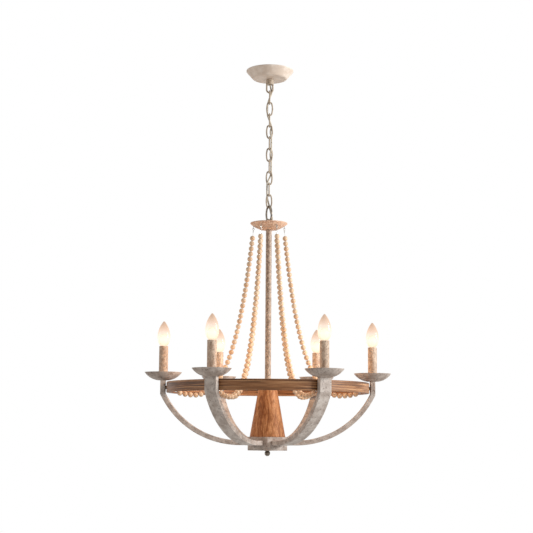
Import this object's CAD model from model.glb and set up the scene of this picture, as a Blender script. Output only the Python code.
# %% [markdown]
# Beaded wood chandelier: a lesson in making one lamp from numpy surfaces and shader maths.
# The CAD model gives every size and place. Here each visible piece is made again as a finer
# surface over the same measures, and gets the finish of the real one: cream paint rubbed through
# to metal, washed and oiled wood, plain turned beads on thin wire, and warm candle bulbs.

# %% The fixed frame
from math import atan2, pi, radians
import bmesh
import bpy
import numpy as np
from mathutils import Euler, Matrix, Vector


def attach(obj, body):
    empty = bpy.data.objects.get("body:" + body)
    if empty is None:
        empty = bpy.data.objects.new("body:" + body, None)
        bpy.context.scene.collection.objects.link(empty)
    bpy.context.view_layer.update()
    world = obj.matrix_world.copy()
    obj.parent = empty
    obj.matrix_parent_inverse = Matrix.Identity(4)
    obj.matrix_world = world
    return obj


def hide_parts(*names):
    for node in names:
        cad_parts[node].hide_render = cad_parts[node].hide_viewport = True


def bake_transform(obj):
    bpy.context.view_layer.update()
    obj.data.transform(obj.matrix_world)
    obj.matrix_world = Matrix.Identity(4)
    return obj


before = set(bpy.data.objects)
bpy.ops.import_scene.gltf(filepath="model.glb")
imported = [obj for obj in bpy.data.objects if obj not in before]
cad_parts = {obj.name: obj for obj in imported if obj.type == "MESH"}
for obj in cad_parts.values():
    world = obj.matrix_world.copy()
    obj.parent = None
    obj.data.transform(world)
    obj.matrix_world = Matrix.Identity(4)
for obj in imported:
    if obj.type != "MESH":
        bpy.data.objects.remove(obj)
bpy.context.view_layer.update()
MM = 0.001

# %% [markdown]
# Every surface in this lesson is a grid: rows and columns of points with a four-cornered face in
# each gap. A direction that comes round on itself joins its last row to its first. Sizes are in
# millimetres, as on a workshop drawing, and become metres when the mesh is made. Each point also
# carries a tone, one number that a finish may read, so that no two beads have the same colour.

# %% Forms: grids of points
class Form:
    """Points, the four-cornered faces between them, and one tone for each point."""

    def __init__(self, points, faces, tone=0.5):
        self.points = np.asarray(points, float).reshape(-1, 3)
        self.faces = np.asarray(faces, int).reshape(-1, 4)
        self.tone = np.broadcast_to(tone, len(self.points)).astype(float)

    def __add__(self, other):
        """Both forms in one; the second one's faces count on from the first one's points."""
        return Form(
            np.vstack((self.points, other.points)),
            np.vstack((self.faces, other.faces + len(self.points))),
            np.concatenate((self.tone, other.tone)),
        )


def grid(points, round_rows=False, round_columns=False):
    """Faces over a grid of points, each made of a point and its neighbours right, below and between."""
    index = np.arange(points.shape[0] * points.shape[1]).reshape(points.shape[:2])
    if round_rows:
        index = np.vstack((index, index[:1]))
    if round_columns:
        index = np.hstack((index, index[:, :1]))
    corners = (index[:-1, :-1], index[1:, :-1], index[1:, 1:], index[:-1, 1:])
    return Form(points, np.stack(corners, -1))


def about_z(angles):
    """One rotation matrix about the upright axis for each angle: rows (cos, -sin, 0) and (sin, cos, 0)."""
    cosine, sine = np.cos(angles), np.sin(angles)
    nought, one = np.zeros_like(cosine), np.ones_like(cosine)
    flat = np.stack((cosine, -sine, nought, sine, cosine, nought, nought, nought, one), -1)
    return flat.reshape(-1, 3, 3)


def copies(form, turns, places, tones=None):
    """The form once for each rotation matrix and place: every point is turned, then moved."""
    places = np.asarray(places, float)
    turns = np.broadcast_arrays(turns, places[:, :, None])[0]
    points = np.einsum("kij,nj->kni", turns, form.points) + places[:, None]
    faces = form.faces[None] + (np.arange(len(places)) * len(form.points))[:, None, None]
    tone = np.tile(form.tone, len(places)) if tones is None else np.repeat(tones, len(form.points))
    return Form(points, faces, tone)


ARM_ANGLES = np.radians(np.arange(6) * 60.0)


def at_angles(form, angles):
    """A form that was made on the +X side, copied to each of these angles about the axis."""
    return copies(form, about_z(angles), np.zeros((len(angles), 3)))


def round_the_hub(form):
    """Six copies, one for each arm."""
    return at_angles(form, ARM_ANGLES)


# %% [markdown]
# A lathe, a bender and a carver cover nearly all the pieces of this lamp. The lathe turns a profile
# about the axis. The bender carries a section along a bent line, as wire is bent. Corners are
# never knife-sharp on a real piece, so profiles pass through a function that eases each corner.

# %% Profiles, lathe and bender
def unit(vectors):
    """Vectors divided by their own length."""
    return vectors / np.maximum(np.linalg.norm(vectors, axis=-1, keepdims=True), 1e-9)


def eased(corners, rounds, closed=True, steps=4):
    """Each corner gives way to (1-t)^2 a + 2t(1-t) corner + t^2 b, with a and b `round` away from it.
    A point a little before a and one a little after b keep the shading of the flats beside it level."""
    corners = np.asarray(corners, float)
    rounds = np.broadcast_to(rounds, len(corners)).astype(float)[:, None]
    before, after = np.roll(corners, 1, 0), np.roll(corners, -1, 0)
    if not closed:
        before[0], after[-1] = corners[0], corners[-1]
    back, on = unit(before - corners) * rounds, unit(after - corners) * rounds
    t = np.linspace(0, 1, steps + 1)[None, :, None]
    a, b, corner = (corners + back)[:, None], (corners + on)[:, None], corners[:, None]
    curve = (1 - t) ** 2 * a + 2 * t * (1 - t) * corner + t**2 * b
    return np.hstack((a + 0.35 * back[:, None], curve, b + 0.35 * on[:, None])).reshape(-1, 2)


def lathe(profile, count=96, closed=True, at=0.0):
    """A profile of radii and heights turned about an upright axis: x = r cos a, y = r sin a, z = h."""
    angle = np.linspace(0, 2 * pi, count, endpoint=False)
    radius, height = np.asarray(profile, float).T
    x, y = np.outer(radius, np.cos(angle)) + at, np.outer(radius, np.sin(angle))
    return grid(np.stack((x, y, np.outer(height, np.ones(count))), -1), closed, True)


def disc(radius, count):
    """A round section: `radius` times the cosine and sine of an angle."""
    angle = np.linspace(0, 2 * pi, count, endpoint=False)
    return np.stack((radius * np.cos(angle), radius * np.sin(angle)), -1)


def bent(path, section, level, closed=False):
    """A section carried along a path: its first number goes across the path and `level`,
    its second square to both. An open path gets its ends closed by one point each."""
    path = np.asarray(path, float)
    along = np.roll(path, -1, 0) - np.roll(path, 1, 0) if closed else np.gradient(path, axis=0)
    along = unit(along)
    across = unit(np.cross(along, level))
    over = np.cross(across, along)
    section = np.broadcast_to(section, (len(path),) + np.shape(section)[-2:])
    points = path[:, None] + across[:, None] * section[..., :1] + over[:, None] * section[..., 1:]
    if not closed:
        ends = np.broadcast_to(path[[0, -1], None], (2,) + points.shape[1:])
        points = np.concatenate((ends[:1], points, ends[1:]))
    return grid(points, closed, True)


def on_plane(line, turn=0.0, at=(0, 0, 0)):
    """A flat line of (across, up) pairs stood upright and turned about the upright axis."""
    across, up = np.asarray(line, float).T
    return np.stack((across * np.cos(turn) + at[0], across * np.sin(turn) + at[1], up + at[2]), -1)


# %% [markdown]
# The last helper makes the object. It merges the doubled points at seams and poles, turns the faces
# outwards, and shades the surface smooth except over edges that are sharp on the real piece. Then
# the piece rides on its CAD body, hides the plain node that it stands for and names its finish.

# %% Making a piece
MERGE = 2e-6  # metres within which two points are one


def show(name, form, finish, body, replaces=(), sharp=38.0):
    """The finished piece, on its CAD body and in place of the nodes named in `replaces`."""
    mesh = bpy.data.meshes.new(name)
    mesh.from_pydata((form.points * MM).tolist(), [], form.faces.tolist())
    tone = mesh.attributes.new("tone", "FLOAT", "POINT")
    tone.data.foreach_set("value", form.tone.astype(np.float32))
    shell = bmesh.new()
    shell.from_mesh(mesh)
    bmesh.ops.remove_doubles(shell, verts=shell.verts, dist=MERGE)
    bmesh.ops.recalc_face_normals(shell, faces=shell.faces)
    shell.to_mesh(mesh)
    shell.free()
    mesh.shade_smooth()
    mesh.set_sharp_from_angle(angle=radians(sharp))
    piece = bpy.data.objects.new(name, mesh)
    bpy.context.scene.collection.objects.link(piece)
    mesh.materials.append(finish.material)
    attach(piece, body)
    if replaces:
        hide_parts(*replaces)
    print(f"{name}: {len(mesh.polygons)} faces")
    return piece


# %% [markdown]
# A finish is a small network of nodes. Written as sums it is easier to read: `1 - mask` adds a Math
# node, and a mask times a number adds another. Colours are mixed, never added, because a Math node
# turns them grey. What is the same all over a surface is set on the shader's own socket.

# %% Shader maths
def paint(code):
    """A colour code such as d9c7ae in the linear light that shaders use."""
    part = np.array([int(code[at:at + 2], 16) for at in (0, 2, 4)]) / 255
    linear = np.where(part <= 0.04045, part / 12.92, ((part + 0.055) / 1.055) ** 2.4)
    return (*linear.tolist(), 1.0)


class Shade:
    """A value or a colour on its way through a finish. Operators on values add Math nodes."""

    def __init__(self, finish, socket):
        self.finish, self.socket = finish, socket

    def math(self, operation, first, second):
        return self.finish.node("ShaderNodeMath", {"operation": operation}, {0: first, 1: second})

    def __add__(self, other):
        return self.math("ADD", self, other)

    def __sub__(self, other):
        return self.math("SUBTRACT", self, other)

    def __rsub__(self, other):
        return self.math("SUBTRACT", other, self)

    def __mul__(self, other):
        return self.math("MULTIPLY", self, other)

    def __truediv__(self, other):
        return self.math("DIVIDE", self, other)

    def __pow__(self, other):
        return self.math("POWER", self, other)

    __radd__, __rmul__ = __add__, __mul__

    def between(self, low, high):
        """0 below `low`, 1 above `high`, and a soft step between them."""
        sockets = {"Value": self, "From Min": low, "From Max": high}
        return self.finish.node("ShaderNodeMapRange", {"interpolation_type": "SMOOTHSTEP"}, sockets)


class Finish:
    """One material: its slot in the record, its node tree, and the method that adds any node."""

    def __init__(self, slot, **constants):
        self.slot = slot
        self.material = bpy.data.materials.new(slot)
        self.material.use_nodes = True
        self.tree = self.material.node_tree
        self.shader = self.tree.nodes["Principled BSDF"]
        for socket, value in constants.items():
            self.shader.inputs[socket.replace("_", " ")].default_value = value
        self.place = self.node("ShaderNodeTexCoord", {}, {}, "Object")

    def node(self, kind, settings, sockets, output=0):
        """Adds a node: its settings first, a ramp's stops among them, then its sockets."""
        made = self.tree.nodes.new(kind)
        for name, value in settings.items():
            if name == "stops":
                ramp = made.color_ramp
                for spot, colour in value.items():
                    stop = ramp.elements.new(spot)
                    stop.color = colour
                ramp.elements.remove(ramp.elements[0])
                ramp.elements.remove(ramp.elements[-1])
            else:
                setattr(made, name, value)
        for socket, value in sockets.items():
            if isinstance(value, Shade):
                self.tree.links.new(value.socket, made.inputs[socket])
            else:
                made.inputs[socket].default_value = value
        return Shade(self, made.outputs[output])

    def noise(self, grain, detail=3.0, rough=0.55, wander=0.0, place=None):
        """Cloudy values about 0.5, with features `grain` millimetres long in x, y and z."""
        scale = [1 / (size * MM) for size in grain]
        spot = self.node("ShaderNodeMapping", {}, {"Vector": place or self.place, "Scale": scale})
        return self.node("ShaderNodeTexNoise", {}, {
            "Vector": spot, "Scale": 1.0, "Detail": detail, "Roughness": rough, "Distortion": wander,
        })

    def mix(self, mask, first, second):
        """The first colour where the mask is 0 and the second where it is 1; a colour may be a code."""
        first, second = (paint(colour) if isinstance(colour, str) else colour for colour in (first, second))
        return self.node("ShaderNodeMix", {"data_type": "RGBA"}, {0: mask, 6: first, 7: second}, 2)

    def tone(self):
        """The number that each point carries."""
        return self.node("ShaderNodeAttribute", {"attribute_name": "tone"}, {}, "Fac")

    def xyz(self):
        """The three numbers of a point's place, in metres."""
        split = self.tree.nodes.new("ShaderNodeSeparateXYZ")
        self.tree.links.new(self.place.socket, split.inputs[0])
        return [Shade(self, socket) for socket in split.outputs]

    def feed(self, **shades):
        """Links shades to the shader's sockets of the same names."""
        for socket, shade in shades.items():
            self.tree.links.new(shade.socket, self.shader.inputs[socket.replace("_", " ")])

    def coat(self, colour, rough, height, depth):
        """Feeds a colour and a roughness, and raises the surface by this height."""
        self.feed(Base_Color=colour, Roughness=rough)
        self.relief(height, depth)

    def relief(self, height, depth):
        """Raises and sinks the surface by `depth` millimetres of this height."""
        sockets = {"Height": height, "Distance": depth * MM, "Strength": 1.0}
        self.feed(Normal=self.node("ShaderNodeBump", {}, sockets))


# %% [markdown]
# Rubbed paint is on most of the metal. A dark first coat is covered with cream, and the cream is
# rubbed while wet, so that the dark shows through in specks and soft blotches. Three noises
# make it: a wide one for the cloudy cream, a middle one for the blotches and a fine one for specks.
# The collar and the dishes are a shade darker than the canopy and the arms, whose slots they share.

# %% Rubbed paint on metal
def rubbed(slot, light, mid, under, blotch, speck, wear, rough, relief, stretch=1.0):
    """Cream over a dark coat: mid goes to light with the wide noise, then to under in specks.
    Blotches and specks are in millimetres, `stretch` times as tall; a higher `wear` shows less dark."""
    finish = Finish(slot, Metallic=0.0, Specular_IOR_Level=0.4)
    cloud = finish.noise((blotch, blotch, blotch * stretch), 4.0, 0.6)
    small = blotch * 0.35
    patch = finish.noise((small, small, small * stretch), 4.0, 0.65, 0.4)
    grain = finish.noise((speck, speck, speck * stretch), 2.0, 0.6)
    coat = finish.mix(cloud.between(0.36, 0.64), mid, light)
    worn = (patch * 0.55 + grain * 0.45).between(wear - 0.05, wear + 0.07)
    pale = (grain * 0.6 + cloud * 0.4).between(0.56, 0.70)
    coat = finish.mix(pale * 0.5, coat, light)
    finish.coat(
        finish.mix(worn * 0.8, coat, under), rough + 0.2 * (cloud - 0.5) - 0.1 * worn,
        grain * 0.4 + patch * 0.6 - worn * 0.3, relief,
    )
    return finish


canopy_finish = rubbed("canopy_finish", "eadbcd", "d6c3b2", "9f8b79", 34, 2.6, 0.64, 0.5, 0.03)
collar_finish = rubbed("collar_finish", "c6b5a1", "ab9782", "6e5c4b", 6, 1.4, 0.57, 0.48, 0.06)
collar_finish.slot = canopy_finish.slot
chain_finish = rubbed("chain_finish", "c3b29d", "a8947e", "6c5a4a", 6, 1.4, 0.57, 0.48, 0.06)
stem_finish = rubbed("stem_finish", "c6b09c", "937c69", "5c493c", 6, 2.8, 0.54, 0.5, 0.06, 1.4)
arm_finish = rubbed("arm_finish", "cbbfb5", "ab9c91", "69584e", 20, 3.4, 0.575, 0.55, 0.07)
dish_finish = rubbed("dish_finish", "c1b3a8", "a08f83", "62514a", 20, 3.6, 0.565, 0.55, 0.07)
dish_finish.slot = arm_finish.slot
sleeve_finish = rubbed("sleeve_finish", "dac1aa", "b69880", "7e6451", 7, 3.4, 0.565, 0.62, 0.04, 1.4)
print("rubbed finishes: canopy, collar, chain, stem, arms, dishes, sleeves")

# %% [markdown]
# Plain metals: connecting link, hanging loop, spacers and finial are dark bronze; screw eyes, screws,
# nuts and the hidden bar are zinc-plated steel; leads and the bulbs' bases are copper-coloured; the
# bead wire is bright steel. Colour hardly varies, so the work is in roughness and fine scratches.

# %% Plain metals
def metal(slot, light, dark, rough, grain=1.2, metallic=1.0, relief=0.02):
    """Metal whose colour and shine drift between two values with one fine noise."""
    finish = Finish(slot, Metallic=metallic)
    tarnish = finish.noise((grain * 4, grain * 4, grain * 4), 4.0, 0.6)
    scratch = finish.noise((grain * 0.2, grain * 0.2, grain * 3), 2.0)
    finish.coat(
        finish.mix(tarnish.between(0.35, 0.65), light, dark),
        rough + 0.3 * (tarnish - 0.5) + 0.1 * (scratch - 0.5), scratch + tarnish, relief,
    )
    return finish


dark_bronze = metal("dark_bronze", "9a8d7d", "504840", 0.45, 1.5, 0.5, 0.05)
zinc_steel = metal("zinc_steel", "a8a49d", "7f7a73", 0.42)
copper_lead = metal("copper_lead", "c98b5e", "a5673e", 0.38)
bead_wire = metal("bead_wire", "d8d6d2", "b3b0aa", 0.28)
holder_plastic = Finish("holder_plastic", Specular_IOR_Level=0.5)
moulding = holder_plastic.noise((3, 3, 3), 2.0)
holder_plastic.coat(holder_plastic.mix(moulding, "e8e2d4", "d9d1c0"), 0.35 + 0.2 * moulding, moulding, 0.03)

# %% [markdown]
# Wood shows how it was cut. The hoop is a bent strip, so its grain runs round it: the noise is
# stretched along the circle by reading height and radius much faster than x and y. The cone was
# turned from an upright block, so its grain stands up. The crown was turned from a board and
# washed with thin paint that stays in the pores as pale specks.

# %% Woods
def wood(slot, light, mid, dark, place, pores, rough, relief, bands, specular):
    """Wood from noises read at a stretched place: wide bands of colour, streaks and fine dark pores."""
    finish = Finish(slot, Specular_IOR_Level=specular)
    spot = place(finish)
    band = finish.noise((1000, 1000, 1000), 3.0, 0.6, 0.6, spot)
    streak = finish.noise((250, 250, 250), 3.0, 0.65, 0.2, spot)
    fibre = finish.noise((90, 90, 90), 2.0, 0.6, 0.0, spot)
    stops = {bands[0]: paint(dark), bands[1]: paint(mid), bands[2]: paint(light)}
    body = finish.node("ShaderNodeValToRGB", {"stops": stops}, {"Fac": band * 0.55 + streak * 0.45})
    pore = fibre.between(pores, pores + 0.10)
    finish.coat(
        finish.mix(pore * 0.55, body, dark), rough + 0.25 * (streak - 0.5) + 0.1 * pore,
        streak * 0.6 - pore * 0.5, relief,
    )
    return finish


def round_grain(finish):
    """Place for a hoop: slow along x and y, fast over height plus radius, so no seam shows."""
    x, y, z = finish.xyz()
    radius = (x * x + y * y) ** 0.5
    return finish.node("ShaderNodeCombineXYZ", {}, {0: x * 2.2, 1: y * 2.2, 2: (z + radius) * 110.0})


def upright_grain(finish):
    """Place for a turned block: fast across it and slow along its height."""
    return finish.node("ShaderNodeMapping", {}, {"Vector": finish.place, "Scale": (80, 80, 6)})


hoop_wood = wood("hoop_wood", "cd9c70", "986640", "54341c", round_grain,
                 0.52, 0.42, 0.08, (0.41, 0.5, 0.60), 0.3)
cone_wood = wood("cone_wood", "cf9566", "ae7348", "804c29", upright_grain,
                 0.53, 0.55, 0.05, (0.40, 0.5, 0.60), 0.2)
print("woods: hoop and cone; grain runs round the hoop and up the cone")

# %% [markdown]
# The crown's wash is a pinkish tan with pale flecks and darker pits; turning rings run round it. The
# beads are bare turned wood: each has its own tone, from straw to light tan, and fine lines.

# %% Washed crown and bare beads
crown_wood = Finish("crown_wood", Specular_IOR_Level=0.3)
board = crown_wood.noise((45, 5, 5), 3.0, 0.6, 0.5)
fleck = crown_wood.noise((5.0, 2.4, 2.4), 3.0, 0.7)
pit = crown_wood.noise((3.0, 2.6, 2.6), 2.0, 0.6)
washed = crown_wood.mix(board.between(0.36, 0.64), "d8a98b", "ebc4a5")
washed = crown_wood.mix(fleck.between(0.50, 0.60) * 0.75, washed, "f0dccb")
washed = crown_wood.mix(pit.between(0.55, 0.64) * 0.75, washed, "8e6650")
crown_wood.coat(washed, 0.6 + 0.25 * (fleck - 0.5), fleck * 0.5 + board * 0.4 - pit * 0.4, 0.18)

bead_wood = Finish("bead_wood", Specular_IOR_Level=0.4)
lot = bead_wood.tone()
line = bead_wood.noise((9, 1.6, 1.6), 3.0, 0.65, 0.6)
spot = bead_wood.noise((2.2, 2.2, 2.2), 2.0, 0.6)
bare = bead_wood.mix(lot, "dcb38c", "efd6b8")
bare = bead_wood.mix(line.between(0.50, 0.66) * 0.5, bare, "a87a50")
bare = bead_wood.mix(spot.between(0.62, 0.72) * 0.5, bare, "8a6242")
bead_wood.coat(bare, 0.42 + 0.25 * (line - 0.5), line - spot * 0.3, 0.10)

# %% [markdown]
# The supply cord is covered with woven thread. Two sets of slanting lines cross on it, read from
# the tube's own turns and length, and the darker gaps between the threads sink in.

# %% Woven cord
pale_cord = Finish("pale_cord", Roughness=0.85, Specular_IOR_Level=0.2, Sheen_Weight=0.2)
weave_map = pale_cord.tree.nodes.new("ShaderNodeUVMap")
turned = Shade(pale_cord, weave_map.outputs[0])
round_it, down_it = [pale_cord.node("ShaderNodeSeparateXYZ", {}, {0: turned}, part) for part in (0, 1)]
WEAVE_TURNS, WEAVE_PITCH = 8, 2.6


def slant(direction):
    """Threads that wind one way: the sine of turns round plus or minus turns along."""
    angle = (round_it * WEAVE_TURNS + down_it * (direction / WEAVE_PITCH)) * (2 * pi)
    return pale_cord.node("ShaderNodeMath", {"operation": "SINE"}, {0: angle})


thread = slant(1.0) * slant(-1.0)
fuzz = pale_cord.noise((0.5, 0.5, 0.5), 2.0)
shade_of_thread = (thread * 0.5 + 0.5) * 0.7 + fuzz * 0.3
pale_cord.feed(Base_Color=pale_cord.mix(shade_of_thread, "b9a78f", "e3d8c6"))
pale_cord.relief(shade_of_thread, 0.25)

# %% [markdown]
# A lit candle bulb is brightest low down, round its filament, and the glass above it only glows.
# The glass is a thin see-through coat whose glow fades with height and whose rim looks denser, as
# the eye meets more glass there. Two egg-shaped shells of light stand inside it.

# %% Lit glass
BULB_SEAT, BULB_HEIGHT = -767.0, 70.5
bulb_glass = Finish("bulb_glass", Roughness=0.12, IOR=1.45, Emission_Strength=1.0, Specular_IOR_Level=0.5)
height = (bulb_glass.xyz()[2] - BULB_SEAT * MM) / (BULB_HEIGHT * MM)
swirl = bulb_glass.noise((18, 18, 30), 2.0)
lift = height + 0.10 * (swirl - 0.5)
edge = bulb_glass.node("ShaderNodeLayerWeight", {}, {"Blend": 0.5}, "Facing") ** 3.0
glow = {
    0.02: paint("e0b592"), 0.16: paint("f8dfc0"), 0.30: paint("fff4dc"), 0.46: paint("f2d8bb"),
    0.64: paint("d2b093"), 0.98: paint("ae9480"),
}
veil = {0.0: (0.50,) * 4, 0.3: (0.40,) * 4, 0.6: (0.38,) * 4, 1.0: (0.52,) * 4}
through = bulb_glass.node("ShaderNodeValToRGB", {"stops": veil}, {"Fac": height})
bulb_glass.feed(
    Base_Color=bulb_glass.mix(lift.between(0.2, 0.9), "a08a74", "8c7462"),
    Emission_Color=bulb_glass.mix(
        edge, bulb_glass.node("ShaderNodeValToRGB", {"stops": glow}, {"Fac": lift}), "a58f7d"
    ),
    Alpha=through + edge * 0.45,
)


def glowing(strength, light, dark, alpha):
    """The light round a filament: two near colours drifting into each other, let through by alpha."""
    finish = Finish("bulb_glass", Roughness=0.9, Specular_IOR_Level=0.0,
                    Emission_Strength=strength, Alpha=alpha)
    flicker = finish.noise((6, 6, 10), 2.0)
    finish.feed(
        Base_Color=finish.mix(flicker, "5a5048", "4a4038"),
        Emission_Color=finish.mix(flicker, light, dark),
    )
    return finish


filament_glow = glowing(1.5, "fff8e8", "fff0d4", 1.0)
halo_glow = glowing(1.0, "fffae6", "fff4d4", 0.55)
print("lit glass: glow fades over", BULB_HEIGHT, "mm")

# %% [markdown]
# The canopy is a cup spun from sheet, pressed to the ceiling. Its profile goes down the flared
# outside, across the floor, and back up the inside one wall's thickness away. The screw collar below
# it and the base of the cast loop are turned; the loop itself is a bent rod with two legs.

# %% Canopy, collar and loop
CANOPY_FLOOR, COLLAR_FOOT, LOOP_FOOT = -24.0, -36.0, -39.0
cup = [
    (65, 0), (65, -2), (46, CANOPY_FLOOR), (7.3, CANOPY_FLOOR),
    (7.3, -22.5), (44.9, -22.5), (63.5, -2.4), (63.5, 0),
]
show("canopy_cup", lathe(eased(cup, (0.5, 0.9, 4.4, 0.4, 0.4, 4.0, 0.6, 0.4)), 144), canopy_finish,
     "ceiling_fixing", ["canopy"])

ring = [
    (10.2, -24.05), (10.2, -29.4), (9.7, -29.9), (9.7, -30.5), (10.2, -31),
    (10.2, COLLAR_FOOT), (7.2, COLLAR_FOOT), (7.2, -24.05),
]
show("canopy_collar", lathe(eased(ring, (1.2, 0.2, 0.2, 0.2, 0.2, 1.0, 0.2, 0.2)), 96), collar_finish,
     "ceiling_fixing", ["screw_collar"])


def arch(width, wire, opening, up, count=40):
    """Two straight legs and a half circle of `half` radius that leave this opening inside the wire."""
    half = (width - wire) / 2
    rise = up * (opening + wire / 2 - half)
    leg = np.linspace(0, rise, 8)
    turn = np.linspace(pi, 0, count)
    bow = np.stack((half * np.cos(turn), rise + up * half * np.sin(turn)), -1)
    left, right = np.stack((np.full(8, -half), leg), -1), np.stack((np.full(8, half), leg[::-1]), -1)
    return np.vstack((left[:-1], bow, right[1:]))


base = [
    (10.2, COLLAR_FOOT), (10.2, LOOP_FOOT), (4.0, LOOP_FOOT), (3.2, LOOP_FOOT + 0.8),
    (3.2, -23), (4.9, -23), (4.9, -14), (7, -14), (7, COLLAR_FOOT),
]
LOOP_WIDTH, LOOP_WIRE, LOOP_OPENING = 21.5, 4.7, 21.8
loop_line = on_plane(arch(LOOP_WIDTH, LOOP_WIRE, LOOP_OPENING, -1), 0.0, (0, 0, LOOP_FOOT + 1.5))
show("canopy_hook_loop", lathe(eased(base, (0.2, 1.2, 0.2, 0.2, 0.1, 0.1, 0.2, 0.2, 0.1)), 72)
     + bent(loop_line, disc(LOOP_WIRE / 2, 20), (0, 1, 0)), chain_finish, "ceiling_fixing", ["canopy_loop"])

# %% [markdown]
# A chain link is a rod bent to an oval of four arcs and closed by a weld, which leaves a slight
# swelling on one side. Each link stands a quarter turn from the one above it, only the last has
# twisted a little further, and every third has its weld on the other side. The connecting link
# below them is a heavier oval without paint.

# %% Chain
def oval(inner_length, inner_width, wire, end_radius, count=26):
    """Four tangent arcs: two wide ones for the sides, centred beyond the other side, and two end arcs."""
    half_width = (inner_width + wire) / 2
    end_centre = (inner_length + wire) / 2 - end_radius
    narrowing = half_width - end_radius
    side_centre = (end_centre**2 - narrowing**2) / (2 * narrowing)
    meet = atan2(end_centre, side_centre)
    arcs = (
        (-side_centre, 0, side_centre + half_width, -meet, meet),
        (0, end_centre, end_radius, meet, pi - meet),
        (side_centre, 0, side_centre + half_width, pi - meet, pi + meet),
        (0, -end_centre, end_radius, pi + meet, 2 * pi - meet),
    )
    steps = [np.linspace(start, end, count, endpoint=False) for *_, start, end in arcs]
    return np.vstack([
        np.stack((x + radius * np.cos(turn), y + radius * np.sin(turn)), -1)
        for (x, y, radius, *_), turn in zip(arcs, steps)
    ])


WELD_REACH = 1.8


def rod(line, wire, weld, count=14):
    """A round section for each point of an oval, thicker by the share `weld` on its right side."""
    swell = 1 + weld * np.exp(-(line[:, 1] / WELD_REACH) ** 2) * (line[:, 0] > 0)
    return disc(wire / 2, count)[None] * swell[:, None, None]


def link_form(line, turn, height, section):
    """An oval stood upright at this height and turned about the chain's axis."""
    return bent(on_plane(line, turn, (0, 0, height)), section, (-np.sin(turn), np.cos(turn), 0), True)


LINKS, LINK_WIRE, LINK_PITCH, FIRST_LINK, LAST_TWIST = 10, 4.0, 32.3, -75.3, 20
link_line = oval(32.6, 11.5, LINK_WIRE, 6.2)
for number in range(LINKS):
    turn = radians(90 * (number % 2 == 0) + LAST_TWIST * (number == LINKS - 1))
    turn += pi * (number % 3 == 0)
    form = link_form(link_line, turn, FIRST_LINK - LINK_PITCH * number, rod(link_line, LINK_WIRE, 0.09))
    name = f"link_{number + 1:02d}"
    show(f"chain_oval_{number + 1:02d}", form, chain_finish, name, [f"chain_{name}"])

CONNECTOR_TURN, CONNECTOR_UP, CONNECTOR_WIRE = radians(130), -401.0, 5.0
connector_line = oval(38.0, 17.0, CONNECTOR_WIRE, 8.0)
connector_rod = rod(connector_line, CONNECTOR_WIRE, 0.05, 18)
show("connecting_oval", link_form(connector_line, CONNECTOR_TURN, CONNECTOR_UP, connector_rod), dark_bronze,
     "connector", ["connecting_link"])

# %% [markdown]
# The hanging loop is the fixture's own: an arch on a round base whose hollow stud goes through the
# crown into the stem. The crown is a turned saucer; its side bows out between foot and lip. A bow
# is drawn as a straight line plus 4 t (1 - t) times its depth, which is close to a shallow arc.

# %% Hanging loop, crown and stem
CROWN_FLOOR, CROWN_BASE, HUB_TOP = -439.2, -444.5, -1002.5
loop_base = [
    (5.0, -435.2), (11.5, -435.2), (11.5, CROWN_FLOOR), (6.3, CROWN_FLOOR),
    (6.3, -460.5), (4.2, -460.5), (4.2, -436.0),
]
HANG_TURN, HANG_WIDTH, HANG_WIRE, HANG_OPENING = radians(40), 22.0, 5.0, 17.5
hang_line = on_plane(arch(HANG_WIDTH, HANG_WIRE, HANG_OPENING, 1), HANG_TURN, (0, 0, CROWN_FLOOR + 2))
hang_flat = (-np.sin(HANG_TURN), np.cos(HANG_TURN), 0)
show("fixture_hook_loop", lathe(eased(loop_base, (0.3, 1.2, 0.2, 0.1, 0.3, 0.1, 0.2)), 72)
     + bent(hang_line, disc(HANG_WIRE / 2, 20), hang_flat), dark_bronze, "fixture", ["hanging_loop"])


def bowed(start, end, belly, count=14):
    """Points from start to end, moved to the right of the line by 4 t (1 - t) times the belly."""
    start, end = np.array(start, float), np.array(end, float)
    t = np.linspace(0, 1, count)[:, None]
    side = unit(np.array([end[1] - start[1], start[0] - end[0]]))
    return start + (end - start) * t + side * belly * 4 * t * (1 - t)


def saucer(bore, foot, rim, floor, depth, belly, wall, lip, easing):
    """Closed half section of a saucer with a bore: foot, bowed outside, lip, bowed inside, floor."""
    outside = bowed((foot, floor), (rim, floor + depth - lip), belly)
    inside = bowed((rim - wall, floor + depth), (foot - wall / 4, floor + wall), -belly)
    edges = [outside[-1], (rim, floor + depth), (rim - wall, floor + depth), inside[1]]
    top = eased(edges, (0, easing, easing, 0), False)
    flat = np.linspace(bore, foot, 4)[:-1]
    under = np.stack((flat, np.full(3, floor)), -1)
    over = np.stack((flat[::-1], np.full(3, floor + wall)), -1)
    return np.vstack((under, outside[:-1], top, inside[2:], over))


crown = lathe(saucer(6.4, 21.0, 50.5, CROWN_BASE, 18.1, 2.0, 5.3, 2.0, 0.9), 144)
show("crown_saucer", crown, crown_wood, "fixture", ["crown_dish"])
STEM_TOP, STEM_FOOT = CROWN_BASE - 0.05, -1035
tube = [(8.0, STEM_TOP), (8.0, STEM_FOOT), (6.4, STEM_FOOT), (6.4, STEM_TOP)]
show("stem_tube", lathe(eased(tube, 0.3), 48), stem_finish, "fixture", ["stem"])

# %% [markdown]
# A screw eye is one bent wire: nearly a full ring, then a short neck into the wood. Six are in the
# crown and six in the hoop. The line goes round the ring and turns out along the shank by a
# small curve, as the bending jaw leaves it.

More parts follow.
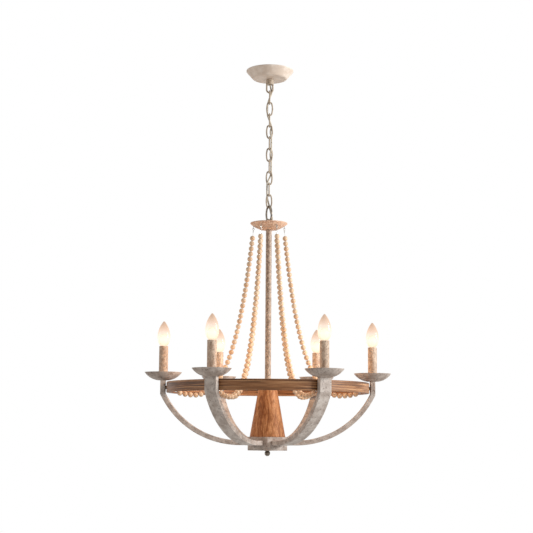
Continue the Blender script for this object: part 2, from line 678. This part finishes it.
# %% Screw eyes
EYE_RING, EYE_WIRE = 2.6, 1.4
spin = np.radians(np.linspace(118, 424, 36))
ring_part = np.stack((EYE_RING * np.cos(spin), EYE_RING * np.sin(spin)), -1)
neck = np.array([(0.62, 2.95), (0.22, 3.4), (0.0, 4.0), (0.0, 5.5), (0.0, 8.4)])
eye_line = np.vstack((ring_part, neck))
eye_form = bent(on_plane(eye_line), disc(EYE_WIRE / 2, 8), (0, 1, 0))

CROWN_EYE, CROWN_EYE_UP, HOOP_EYE, HOOP_EYE_UP = 42.0, -439.6, 254.4, -882.3
across_z = np.array([[0, 1, 0], [-1, 0, 0], [0, 0, 1.0]])
shank_out = np.array([[0, 0, 1], [0, 1, 0], [1, 0, 0.0]])
eye_places = [(CROWN_EYE, 0, CROWN_EYE_UP), (HOOP_EYE, 0, HOOP_EYE_UP)]
eyes = copies(eye_form, np.stack((across_z, shank_out)), eye_places)
show("screw_eye_rings", round_the_hub(eyes), zinc_steel, "fixture", ["screw_eyes"])

# %% [markdown]
# A bead strand hangs as a chain does: its height above the lowest point is hypot(s, c) - c, where s is
# the length of wire up to there and c the curve at the bottom. Beyond its lowest point it
# rises in an arc to the hoop. Each wire ends in a ring through its eye and is wound back on itself.
# A bead is a ball whose poles are cut off by its bore; its copies differ only in turn and tone, and
# few faces are enough. Two strands have a little more slack, as strung beads do.

# %% Strands
STRAND_CURVE, STRAND_WIRE, BEAD_PITCH, FIRST_BEAD = 50.5, 1.2, 14.3, 23.0
RING_DROP, RING = 3.6, 2.6
HOOP_CENTRE, STRAND_DROP = -873.3, 19.9
SLACK, BEADS = (0, 0, 0, 0, 9, 4), (37, 37, 37, 37, 38, 37)
rng = np.random.default_rng(7)


def strand_line(slack):
    """Radius and height along one strand, from its top ring to its hoop ring, and the way it ends."""
    low = HOOP_CENTRE - STRAND_DROP - slack
    drop = CROWN_EYE_UP - RING_DROP - RING - low
    length = np.sqrt((drop + STRAND_CURVE) ** 2 - STRAND_CURVE**2)
    low_at = CROWN_EYE + STRAND_CURVE * np.arcsinh(length / STRAND_CURVE)
    left = np.linspace(length, 0, 90)
    hanging = (
        low_at - STRAND_CURVE * np.arcsinh(left / STRAND_CURVE),
        low + np.hypot(left, STRAND_CURVE) - STRAND_CURVE,
    )
    across, rise = HOOP_EYE - low_at, HOOP_EYE_UP - low
    bow = (across**2 + rise**2) / (2 * rise)
    slope = np.arcsin(across / bow)
    turn = np.linspace(0, slope - (RING_DROP + RING) / bow, 24)[1:]
    rising = (low_at + bow * np.sin(turn), low + bow * (1 - np.cos(turn)))
    return np.hstack((hanging, rising)).T, np.array((-np.cos(slope), -np.sin(slope)))


def wound(start, way, side, length=7.0, turns=6, wire=0.42):
    """The wire's tail wound round the wire: a helix about the line from `start` along `way`."""
    t = np.linspace(0, 1, turns * 12)[:, None]
    third = np.cross(way, side)
    angle = 2 * pi * turns * t
    spoke = (side * np.cos(angle) + third * np.sin(angle)) * (STRAND_WIRE / 2 + wire)
    return bent(start + way * length * t + spoke, disc(wire, 6), way + 0.001)


BEAD, BORE_EDGE = 7.0, 1.3
latitude = np.linspace(BORE_EDGE, -BORE_EDGE, 8)
bead = lathe(np.stack((BEAD * np.cos(latitude), BEAD * np.sin(latitude)), -1), 12)
SIDE = np.array([0, 1.0, 0])
strand_section = disc(STRAND_WIRE / 2, 8)
for number in range(6):
    line, away = strand_line(SLACK[number])
    path = on_plane(line)
    out = about_z(ARM_ANGLES[[number]])
    top_ring = on_plane(disc(RING, 28) + (CROWN_EYE, CROWN_EYE_UP - RING_DROP))
    way = np.array([away[0], 0, away[1]])
    centre = np.array([HOOP_EYE, 0, HOOP_EYE_UP]) + way * RING_DROP
    turn = np.linspace(0, 2 * pi, 28, endpoint=False)[:, None]
    end_ring = centre + RING * (np.cos(turn) * way + np.sin(turn) * SIDE)
    wire = bent(path, strand_section, SIDE) + bent(top_ring, strand_section, SIDE, True)
    wire = wire + bent(end_ring, strand_section, np.cross(way, SIDE), True)
    wire = wire + wound(path[0], unit(path[1] - path[0]), SIDE)
    wire = wire + wound(path[-1], unit(path[-2] - path[-1]), SIDE)
    body = f"strand_{number + 1}"
    wire = at_angles(wire, ARM_ANGLES[[number]])
    show(f"strand_line_{number + 1}", wire, bead_wire, body, [f"strand_wire_{number + 1}"])
    run = np.concatenate(([0], np.cumsum(np.linalg.norm(np.diff(line, axis=0), axis=1))))
    spot = FIRST_BEAD + BEAD_PITCH * np.arange(BEADS[number])
    place = np.stack([np.interp(spot, run, column) for column in line.T], -1)
    ahead = np.stack([np.interp(spot + 1, run, column) for column in line.T], -1)
    along = unit(on_plane(ahead - place))
    frames = np.stack((np.cross(SIDE, along), np.broadcast_to(SIDE, along.shape), along), -1)
    own_turn = about_z(rng.uniform(0, 2 * pi, len(spot)))
    tones = np.clip(rng.normal(0.5, 0.20, len(spot)), 0, 1)
    beads = copies(bead, out @ frames @ own_turn, on_plane(place) @ out[0].T, tones)
    show(f"turned_beads_{number + 1}", beads, bead_wood, body, [f"bead_strand_{number + 1}"], 60)

# %% [markdown]
# The cone is turned wood round the stem, eased at its edges. The hub under it is a six-sided box
# with a flat for each arm. Its surface is a lathe whose circle is swapped for a hexagon: the plan
# of a hexagon, one unit from its centre to a flat, times the profile's distance.

# %% Cone, hub and finial
HUB_FLOOR, COVER_FOOT = -1035.0, -1038.0
cone = [(8.4, HUB_TOP + 0.05), (47.4, HUB_TOP + 0.05), (23.5, -868.5), (8.4, -868.5)]
show("turned_cone", lathe(eased(cone, (0.2, 1.3, 1.3, 0.3)), 144), cone_wood, "fixture", ["wood_cone"])

corner_angles = np.radians(30 + 60 * np.arange(6))
plan = eased(np.stack((np.cos(corner_angles), np.sin(corner_angles)), -1) / np.cos(pi / 6), 0.02)


def six_sided(profile):
    """A closed profile of distances and heights carried round the hexagon: plan times distance."""
    distance, level = np.asarray(profile, float).T
    flat = distance[:, None, None] * plan[None]
    up = np.broadcast_to(level[:, None, None], flat.shape[:2] + (1,))
    return grid(np.concatenate((flat, up), -1), True, True)


box = [
    (52, HUB_FLOOR), (52, HUB_TOP), (8.6, HUB_TOP), (8.6, HUB_TOP - 4), (48, HUB_TOP - 4), (48, HUB_FLOOR),
]
show("hub_box", six_sided(eased(box, (0.3, 1.4, 0.2, 0.2, 0.6, 0.3))), dish_finish, "fixture", ["hub_body"])
plate = [(6.5, COVER_FOOT), (52, COVER_FOOT), (52, HUB_FLOOR), (6.5, HUB_FLOOR)]
show("hub_plate", six_sided(eased(plate, (0.3, 1.0, 0.3, 0.3))), dish_finish, "fixture", ["hub_cover"])

BALL, BALL_UP, FLANGE_FOOT = 7.4, COVER_FOOT - 1.6 - 6.09, COVER_FOOT - 1.6
polar = np.linspace(-pi / 2, np.arctan2(5.4, 5.06), 20)
ball_side = np.stack((BALL * np.cos(polar), BALL_UP + BALL * np.sin(polar)), -1)
flange = [
    (4.5, FLANGE_FOOT - 0.35), (5.0, FLANGE_FOOT), (7.6, FLANGE_FOOT), (7.6, COVER_FOOT - 0.02),
    (6.2, COVER_FOOT - 0.02), (6.2, -1021), (0, -1021),
]
top = eased(flange, (0, 0.4, 0.6, 0.3, 0, 0.3, 0), False)
show("finial_ball", lathe(np.vstack((ball_side, top)), 64, False), dark_bronze, "fixture", ["finial"])

# %% [markdown]
# An arm is a flat hollow bar. It leaves the hub level, sweeps up on a wide curve, and turns upright
# with a crease past the hoop. Both long edges are drawn, and the bar is the rounded rectangle
# between them, so that the crease is mitred as a folded bar's is.

# %% Arms
ARM_FOOT, ARM_TOP, ARM_AT, ARM_CURVE, CURVE_START = -1018.3, -854.3, 280.0, 229.3, 74.0
HALF_WIDTH, HALF_DEPTH = 17, 6.3
UP_SHARES = np.array((0.004, 0.015, 0.1, 0.3, 0.5, 0.7, 0.9, 0.99, 1.0))


def edge_line(side):
    """Foot, curve and upright of one long edge, `side` outside the bar's middle line."""
    radius = ARM_CURVE + side
    sweep = np.arcsin((ARM_AT + side - CURVE_START) / radius)
    turn = sweep * np.concatenate((np.linspace(0, 0.985, 40), (0.993, 0.998, 1.0)))
    across, up = CURVE_START + radius * np.sin(turn), ARM_FOOT + ARM_CURVE - radius * np.cos(turn)
    curve = np.stack((across, up), -1)
    level = curve[-1, 1] + (ARM_TOP - curve[-1, 1]) * UP_SHARES
    foot = np.stack(((52.05, 52.6, 60, 68), np.full(4, ARM_FOOT - side)), -1)
    return np.vstack((foot, curve, np.stack((np.full(len(level), ARM_AT + side), level), -1)))


bar = eased(np.array([(-1, -1), (1, -1), (1, 1), (-1, 1)]) * (HALF_WIDTH, HALF_DEPTH), 1.3)
outer, inner = edge_line(HALF_DEPTH), edge_line(-HALF_DEPTH)
share = (bar[:, 1] / (2 * HALF_DEPTH) + 0.5)[None, :, None]
flat = inner[:, None] * (1 - share) + outer[:, None] * share
solid = np.stack((flat[..., 0], np.broadcast_to(bar[None, :, 0], flat.shape[:2]), flat[..., 1]), -1)
ends = np.broadcast_to(solid[[0, -1]].mean(1, keepdims=True), (2,) + solid.shape[1:])
arm = grid(np.concatenate((ends[:1], solid, ends[1:])), False, True)
for number in range(6):
    form = at_angles(arm, ARM_ANGLES[[number]])
    show(f"folded_arm_{number + 1}", form, arm_finish, "fixture", [f"arm_{number + 1}"], 50)

# %% [markdown]
# The hoop is a bent strip of wood, held off each arm by a dark spacer and a screw from inside.
# The screw's head is a low dome with a slot: its height is the dome's, less the depth of the slot
# wherever a point is near the head's middle line.

# %% Hoop, spacers and screws
HOOP_IN, HOOP_OUT, HOOP_FOOT, HOOP_TOP = 259, 270, HOOP_CENTRE - 14, HOOP_CENTRE + 14
strip = [(HOOP_IN, HOOP_FOOT), (HOOP_OUT, HOOP_FOOT), (HOOP_OUT, HOOP_TOP), (HOOP_IN, HOOP_TOP)]
show("bent_hoop", lathe(eased(strip, 1.7), 288), hoop_wood, "fixture", ["wood_hoop"])

face_out = np.array([[0, 0, 1], [0, 1, 0], [-1, 0, 0.0]])
washer = eased([(2.3, 0), (4.5, 0), (4.5, 3.7), (2.3, 3.7)], (0.1, 0.3, 0.3, 0.1))
spacer = copies(lathe(washer, 32), face_out[None], [(HOOP_OUT, 0, HOOP_CENTRE)])
show("dark_spacers", round_the_hub(spacer), dark_bronze, "fixture", ["hoop_spacers"])

ray, spin = np.linspace(0, 1, 16)[:, None], np.linspace(0, 2 * pi, 64, endpoint=False)[None]
HEAD, HEAD_EDGE, SHANK, SHANK_FOOT, SLOT_HALF = 3.8, 0.9, 1.95, -18.3, 0.5
x, y = HEAD * ray * np.cos(spin), HEAD * ray * np.sin(spin)
slot = 1 / (1 + np.exp((np.abs(y) - SLOT_HALF) * 14))
dome = HEAD_EDGE + 1.4 * np.sqrt(np.clip(1 - ray**2, 0, 1)) + 0 * spin
head = np.stack((x, y, dome - 0.9 * slot * (ray < 0.97)), -1)
rim = np.stack((x[-1], y[-1], 0 * x[-1]), -1)[None]
round_shank = SHANK * np.cos(spin[0]), SHANK * np.sin(spin[0])
shank = [np.stack((*round_shank, np.full(64, level)), -1)[None] for level in (0, SHANK_FOOT)]
tip = np.broadcast_to(np.array([0, 0, SHANK_FOOT]), (1, 64, 3))
screw = grid(np.concatenate((head, rim, *shank, tip)), False, True)
face_in = np.array([[0, 0, -1], [0, 1, 0], [1, 0, 0.0]])
screw = copies(screw, face_in[None], [(258.97, 0, HOOP_CENTRE)])
show("slotted_screws", round_the_hub(screw), zinc_steel, "fixture", ["hoop_screws"])

# %% [markdown]
# Each candle is a spun saucer on the arm, a card sleeve round the lampholder, and a bulb. The six
# saucers are one form copied round the hub, and so are the six sleeves.

# %% Candle dishes and sleeves
dish = lathe(saucer(5.2, 15.0, 49.5, ARM_TOP, 21.4, 4.2, 2.0, 0.8, 0.4), 96, True, ARM_AT)
show("spun_dishes", round_the_hub(dish), dish_finish, "fixture", ["candle_dishes"])
SLEEVE_FOOT, SLEEVE_TOP = -852.3, -763.3
card = [(10.5, SLEEVE_FOOT), (12, SLEEVE_FOOT), (12, SLEEVE_TOP), (10.5, SLEEVE_TOP)]
sleeve = lathe(eased(card, (0.2, 0.2, 0.6, 0.5)), 64, True, ARM_AT)
show("card_sleeves", round_the_hub(sleeve), sleeve_finish, "fixture", ["candle_sleeves"])

# %% [markdown]
# A candle bulb's outline is three arcs: neck to belly, belly to tip, and the tip itself. The screw
# base below it has a rolled thread, drawn as a wave on its side, and inside the glass a post
# carries a filament that goes up and down in three hoops. Round it stand the two shells of light,
# which cast no shadow, and neither does the glass.

# %% Bulbs
BELLY, BELLY_UP, NECK, NECK_UP, TIP = 17.5, BULB_SEAT + 26.5, 9.0, BULB_SEAT + 4.6, 3.0
rise = BULB_HEIGHT - 26.5 - TIP
long_arc = (BELLY**2 + rise**2 - TIP**2) / (2 * (BELLY - TIP))
lean = np.arctan2(rise, long_arc - BELLY)
low_arc = ((BELLY - NECK) ** 2 + (BELLY_UP - NECK_UP) ** 2) / (2 * (BELLY - NECK))
dip = np.arctan2(BELLY_UP - NECK_UP, low_arc - BELLY + NECK)


def arc(across, up, radius, start, end, count):
    """Points of an arc about (across, up)."""
    turn = np.linspace(start, end, count)
    return np.stack((across + radius * np.cos(turn), up + radius * np.sin(turn)), -1)


outline = np.vstack((
    [(0, BULB_SEAT + 1.7), (NECK - 0.2, BULB_SEAT + 1.7), (NECK, BULB_SEAT + 2.0)],
    arc(BELLY - low_arc, BELLY_UP, low_arc, -dip, 0, 14)[:-1],
    arc(BELLY - long_arc, BELLY_UP, long_arc, 0, lean, 26)[:-1],
    arc(0, BELLY_UP + rise, TIP, lean, pi / 2, 8),
))
glass = lathe(outline, 48, False, ARM_AT)
seat = np.array((0, BULB_SEAT))
THREAD, THREAD_DEPTH, THREAD_PITCH = 5.85, 0.5, 2.6
thread_up = np.linspace(BULB_SEAT - 14.4, BULB_SEAT - 0.6, 70)
wave = np.sin(pi * (thread_up - BULB_SEAT) / THREAD_PITCH) ** 2
thread_side = np.stack((THREAD - THREAD_DEPTH * wave, thread_up), -1)
foot = seat + [(0, -16.5), (2.0, -16.5), (2.4, -16.0), (2.4, -15.2), (4.6, -15.0)]
skirt = seat + [(5.9, 0), (8.9, 0), (9.0, 1.6), (0, 1.6)]
screw_base = lathe(np.vstack((foot, thread_side, skirt)), 40, False, ARM_AT)
post = seat + [(0, 1.6), (3.4, 1.8), (2.0, 6.0), (1.9, 14.0), (1.2, 15.0), (0, 15.2)]
glass_post = lathe(post, 24, False, ARM_AT)
WIRE_RING, WIRE_UP, WIRE_RISE, WIRE_ROUND = 4.2, 19.0, 9.5, 0.86
t = np.linspace(0, 1, 120)
hoops = np.stack((
    ARM_AT + WIRE_RING * np.cos(2 * pi * t * WIRE_ROUND),
    WIRE_RING * np.sin(2 * pi * t * WIRE_ROUND),
    BULB_SEAT + WIRE_UP + WIRE_RISE * np.cos(6 * pi * t),
), -1)
filament = bent(hoops, disc(0.75, 8), (0.1, 0.2, 1.0))


def glow_ball(width, tall):
    """Half outline of an egg about the filament: width cos a and tall sin a, turned on the lathe."""
    tilt = np.linspace(-pi / 2, pi / 2, 18)
    half = np.stack((width * np.cos(tilt), BULB_SEAT + 20.0 + tall * np.sin(tilt)), -1)
    return lathe(half, 32, False, ARM_AT)


core, halo = glow_ball(10.0, 13.0), glow_ball(13.6, 17.0)
CANDLE = {
    "glass": (glass, bulb_glass), "base": (screw_base, copper_lead),
    "filament": (filament + glass_post + core, filament_glow), "halo": (halo, halo_glow),
}
for number in range(6):
    body = f"bulb_{number + 1}"
    for word, (form, finish) in CANDLE.items():
        piece = show(f"candle_{word}_{number + 1}", at_angles(form, ARM_ANGLES[[number]]), finish, body,
                     [body] if word == "glass" else [])
        piece.visible_shadow = word == "base"

# %% [markdown]
# The candles' warm light falls on the hoop, the cone and the beads. A lamp inside a bulb would burn
# its own glass and sleeve white, so six soft lamps stand between the candles, a little further in,
# and stay out of sight.

# %% Candle light
LIGHT_AT, LIGHT_UP, WATTS, CANDLE_COLOUR, LIGHT_SIZE = 205, -790, 0.27, (1.0, 0.56, 0.26), 0.03
for number, angle in enumerate(ARM_ANGLES + pi / 6):
    name = f"candle_light_{number + 1}"
    lamp = bpy.data.objects.new(name, bpy.data.lights.new(name, "POINT"))
    lamp.data.energy, lamp.data.color, lamp.data.shadow_soft_size = WATTS, CANDLE_COLOUR, LIGHT_SIZE
    lamp.location = Vector((LIGHT_AT * np.cos(angle), LIGHT_AT * np.sin(angle), LIGHT_UP)) * MM
    lamp.visible_camera = lamp.visible_glossy = lamp.visible_transmission = False
    bpy.context.scene.collection.objects.link(lamp)
    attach(lamp, "fixture")

# %% [markdown]
# The cord leaves the canopy loop's bore and is woven down the chain to the hanging loop. Its line is
# one smooth curve led by the points at which it was laid. The tube is cut at the middle of each
# link, so that each length bends across one joint when the chain swings. Neighbours overlap a
# little, so that no gap opens. A blended piece rides on no one body, so its parent is cleared.
# The weave is read from a map of turns round the tube and millimetres along it.

# %% Supply cord
CORD, CORD_OVERLAP, BEND_REACH = 4.4, 3.0, 5
CORD_ROUTE = [
    (0, 0, -4), (0.2, 0.2, -42), (6.5, 6.6, -60.7), (-0.2, 0.8, -75.8), (-5.5, 5.4, -91.5),
    (-6.7, 5, -107.6), (-5.7, 5.2, -125.4), (0, 0.8, -140.4), (5.9, 6, -157), (1.6, 0, -172.9),
    (5.4, -5.3, -188.4), (5.1, -6.9, -204.5), (5.4, -5.5, -221.4), (1.6, 0, -236.5),
    (5.5, 5.7, -251.8), (5, 6.8, -269.1), (5.5, 5.9, -287.2), (1, -0.2, -301.8), (-6, -6.3, -317.8),
    (-5.8, -1.7, -333.9), (-5.6, 3.9, -349.9), (-2.7, 4.6, -366), (1.8, 7.4, -382.2),
    (6, 3.6, -400.5), (10.2, -1.2, -419.2), (0.5, -0.1, -435.4), (0, 0, -453),
]


def read(items, word, width, kind):
    """One row of `width` numbers for each item of a mesh."""
    values = np.zeros(len(items) * width, kind)
    items.foreach_get(word, values)
    return values.reshape(-1, width)


route = bpy.data.curves.new("cord_route", "CURVE")
route.dimensions, route.resolution_u = "3D", 12
spline = route.splines.new("NURBS")
spline.points.add(len(CORD_ROUTE) - 1)
led_by = np.hstack((np.array(CORD_ROUTE, float) * MM, np.ones((len(CORD_ROUTE), 1))))
spline.points.foreach_set("co", led_by.ravel())
spline.order_u, spline.use_endpoint_u = 3, True
drawn = bpy.data.objects.new("cord_route", route)
bpy.context.scene.collection.objects.link(drawn)
traced = bpy.data.meshes.new_from_object(drawn)
middle = read(traced.vertices, "co", 3, np.float32).astype(float) / MM
bpy.data.objects.remove(drawn)
run = np.concatenate(([0], np.cumsum(np.linalg.norm(np.diff(middle, axis=0), axis=1))))
print("cord:", round(run[-1]), "mm along its curve")

links_in_order = [f"link_{number + 1:02d}" for number in range(LINKS)]
chain_bodies = ["ceiling_fixing"] + links_in_order + ["connector", "fixture"]
link_middles = [FIRST_LINK - LINK_PITCH * number for number in range(LINKS)] + [CONNECTOR_UP]
cuts = [middle[0, 2] + 1] + link_middles + [middle[-1, 2] - 1]
for number, (upper, lower) in enumerate(zip(chain_bodies, chain_bodies[1:])):
    below_cut = middle[:, 2] <= cuts[number] + CORD_OVERLAP
    inside = below_cut & (middle[:, 2] >= cuts[number + 1] - CORD_OVERLAP)
    at = np.linspace(run[inside][0], run[inside][-1], 48)
    path = np.stack([np.interp(at, run, column) for column in middle.T], -1)
    tube = bent(path, disc(CORD / 2, 20), (0, 1, 0))
    piece = show(f"cord_length_{number + 1:02d}", tube, pale_cord, upper)
    piece.parent = None
    mesh = piece.data
    spot = read(mesh.vertices, "co", 3, np.float32) / MM
    nearest = np.abs(spot[:, None] - path[None]).sum(-1).argmin(1)
    away = spot - path[nearest]
    corner = read(mesh.loops, "vertex_index", 1, np.int32)[:, 0]
    start, total = (read(mesh.polygons, word, 1, np.int32)[:, 0] for word in ("loop_start", "loop_total"))
    owner = np.repeat(np.arange(len(start)), total)
    angle = (np.arctan2(away[:, 1], away[:, 0]) / (2 * pi))[corner]
    angle = angle + np.round(angle[start][owner] - angle)
    uv = np.stack((angle, at[nearest][corner]), -1)
    mesh.uv_layers.new(name="weave").data.foreach_set("uv", uv.astype(np.float32).ravel())
    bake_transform(piece)
    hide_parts("supply_cord")

# %% [markdown]
# What is hidden inside keeps its CAD shape and only gets its finish: the crossbar against the
# ceiling box, nipples and nuts, the lampholders in their sleeves, and the leads in the arms.

# %% Hidden pieces
plated = ["mounting_crossbar", "threaded_nipple", "lock_nut", "candle_posts", "dish_nuts", "arm_screws"]
HIDDEN = {**dict.fromkeys(plated, zinc_steel), "lampholders": holder_plastic, "leads": copper_lead}
for node, finish in HIDDEN.items():
    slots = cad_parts[node].data.materials
    slots.clear()
    slots.append(finish.material)
print("hidden pieces with finishes:", len(HIDDEN))

# %% [markdown]
# The studio: a pale floor well below the lamp, a large soft light to the right and in front, a weak
# one to the left, and a world that is white to the eye but lights the object gently.

# %% Floor, lights and world
floor_mesh = bpy.data.meshes.new("studio_floor")
FLOOR_UP, FLOOR_HALF, AMBIENT = -2.2, 3, 0.30
around = [(-1, -1), (1, -1), (1, 1), (-1, 1)]
floor_mesh.from_pydata([(FLOOR_HALF * x, FLOOR_HALF * y, FLOOR_UP) for x, y in around], [], [(0, 1, 2, 3)])
floor = bpy.data.objects.new("studio_floor", floor_mesh)
bpy.context.scene.collection.objects.link(floor)
pale_floor = Finish("studio_floor", Roughness=0.9)
soft = pale_floor.noise((900, 900, 900), 2.0)
pale_floor.feed(Base_Color=pale_floor.mix(soft, "efedea", "f6f4f1"))
floor_mesh.materials.append(pale_floor.material)

world = bpy.data.worlds.new("studio")
world.use_nodes = True
bpy.context.scene.world = world
nodes, links = world.node_tree.nodes, world.node_tree.links
rays, most, more, strength = (nodes.new(kind) for kind in (
    "ShaderNodeLightPath", "ShaderNodeMath", "ShaderNodeMath", "ShaderNodeMapRange"))
most.operation = more.operation = "MAXIMUM"
links.new(rays.outputs["Is Camera Ray"], most.inputs[0])
links.new(rays.outputs["Is Glossy Ray"], most.inputs[1])
links.new(most.outputs[0], more.inputs[0])
links.new(rays.outputs["Is Transmission Ray"], more.inputs[1])
links.new(more.outputs[0], strength.inputs["Value"])
strength.inputs["To Min"].default_value, strength.inputs["To Max"].default_value = AMBIENT, 1.0
links.new(strength.outputs[0], nodes["Background"].inputs["Strength"])
nodes["Background"].inputs["Color"].default_value = (1, 1, 1, 1)


def soft_light(name, place, size, energy, colour):
    """A square lamp at this place that looks at the middle of the fixture."""
    lamp = bpy.data.objects.new(name, bpy.data.lights.new(name, "AREA"))
    lamp.data.size, lamp.data.energy, lamp.data.color = size, energy, colour
    lamp.location = place
    lamp.rotation_euler = (Vector((0, 0, -0.85)) - Vector(place)).to_track_quat("-Z", "Y").to_euler()
    bpy.context.scene.collection.objects.link(lamp)


soft_light("key_light", (3.0, -0.9, 0.1), 1.4, 122, (0.96, 0.985, 1.0))
soft_light("fill_light", (-2.9, -1.0, -0.2), 1.8, 16, (1.0, 0.98, 0.95))

# %% [markdown]
# The camera stands 3.3 m in front of the lamp at the fixture's level and looks up a little, as the
# lines of the picture say: the hoop is seen from just below and the canopy too.

# %% Camera
camera = bpy.data.objects.new("camera", bpy.data.cameras.new("camera"))
LOOK_UP, LEAN = radians(7.62), radians(0.4)
camera.data.lens, camera.data.sensor_width = 83.04, 36.0
camera.data.clip_end = 50
camera.location = (-0.0057, -3.3, -0.987)
view = Euler((pi / 2 + LOOK_UP, 0, 0)).to_matrix() @ Matrix.Rotation(LEAN, 3, "Z")
camera.rotation_euler = view.to_euler()
bpy.context.scene.collection.objects.link(camera)
bpy.context.scene.camera = camera
bpy.context.scene.view_settings.view_transform = "Standard"
